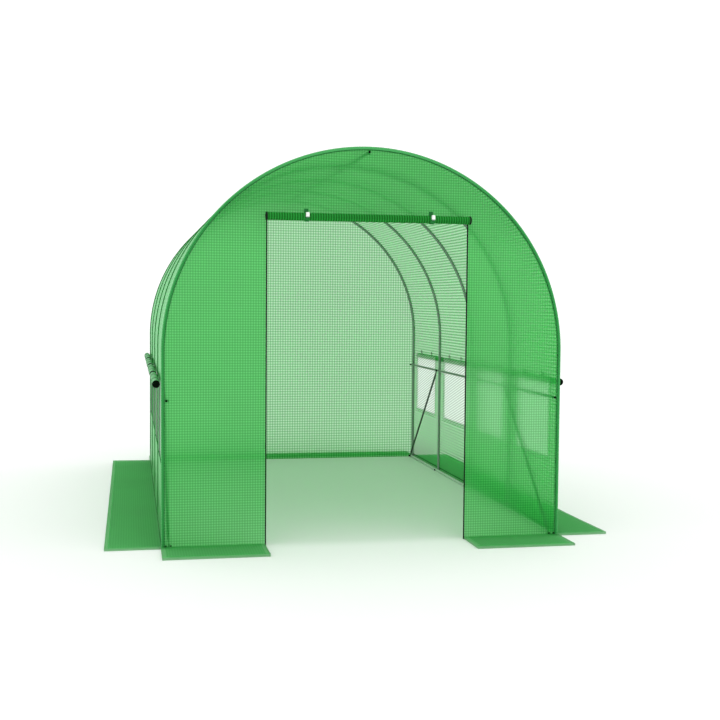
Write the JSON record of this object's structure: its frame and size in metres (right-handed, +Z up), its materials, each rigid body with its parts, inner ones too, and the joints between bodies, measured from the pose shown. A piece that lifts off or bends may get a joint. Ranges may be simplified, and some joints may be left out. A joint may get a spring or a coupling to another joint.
{
  "type": "polytunnel greenhouse",
  "caption": "Walk-in arched polytunnel with a green reinforced film cover, an open doorway with its door rolled up, net windows along both sides and ground skirts.",
  "frame": {"origin": "on the ground at the centre of the tunnel's plan", "axes": "+Z up, -Y out through the doorway, X across the tunnel"},
  "size_m": [2.53, 3.47, 1.94],
  "materials": {
    "steel_tube": "satin",
    "cover_film": "semi-gloss woven film",
    "skirt_film": "semi-gloss woven film",
    "rolled_film": "semi-gloss woven film",
    "zip_tape": "matt",
    "mosquito_net": "matt",
    "webbing": "matt",
    "toggle": "gloss"
  },
  "bodies": {
    "root": {"back_wall": "cover_film", "base_rail_left": "steel_tube", "base_rail_right": "steel_tube", "brace_back_left": "steel_tube", "brace_back_right": "steel_tube", "brace_front_left": "steel_tube", "brace_front_right": "steel_tube", "door_roll": "rolled_film", "door_straps": "webbing", "door_toggles": "toggle", "door_zip_coils": "zip_tape", "front_left_of_door": "cover_film", "front_over_door": "cover_film", "front_right_of_door": "cover_film", "hoop_1": "steel_tube", "hoop_2": "steel_tube", "hoop_3": "steel_tube", "hoop_4": "steel_tube", "hoop_5": "steel_tube", "ridge_purlin": "steel_tube", "roof_left_high": "cover_film", "roof_left_low": "cover_film", "roof_right_high": "cover_film", "roof_right_low": "cover_film", "side_purlin_left": "steel_tube", "side_purlin_right": "steel_tube", "skirt_back": "skirt_film", "skirt_front_left": "skirt_film", "skirt_front_right": "skirt_film", "skirt_left": "skirt_film", "skirt_right": "skirt_film", "wall_left_above_windows": "cover_film", "wall_left_below_windows": "cover_film", "wall_left_between_windows": "cover_film", "wall_right_above_windows": "cover_film", "wall_right_below_windows": "cover_film", "wall_right_between_windows": "cover_film", "window_nets_left": "mosquito_net", "window_nets_right": "mosquito_net", "window_rolls_left": "rolled_film", "window_rolls_right": "rolled_film", "window_ties": "webbing", "zip_left": "zip_tape", "zip_right": "zip_tape"}
  },
  "joints": []
}
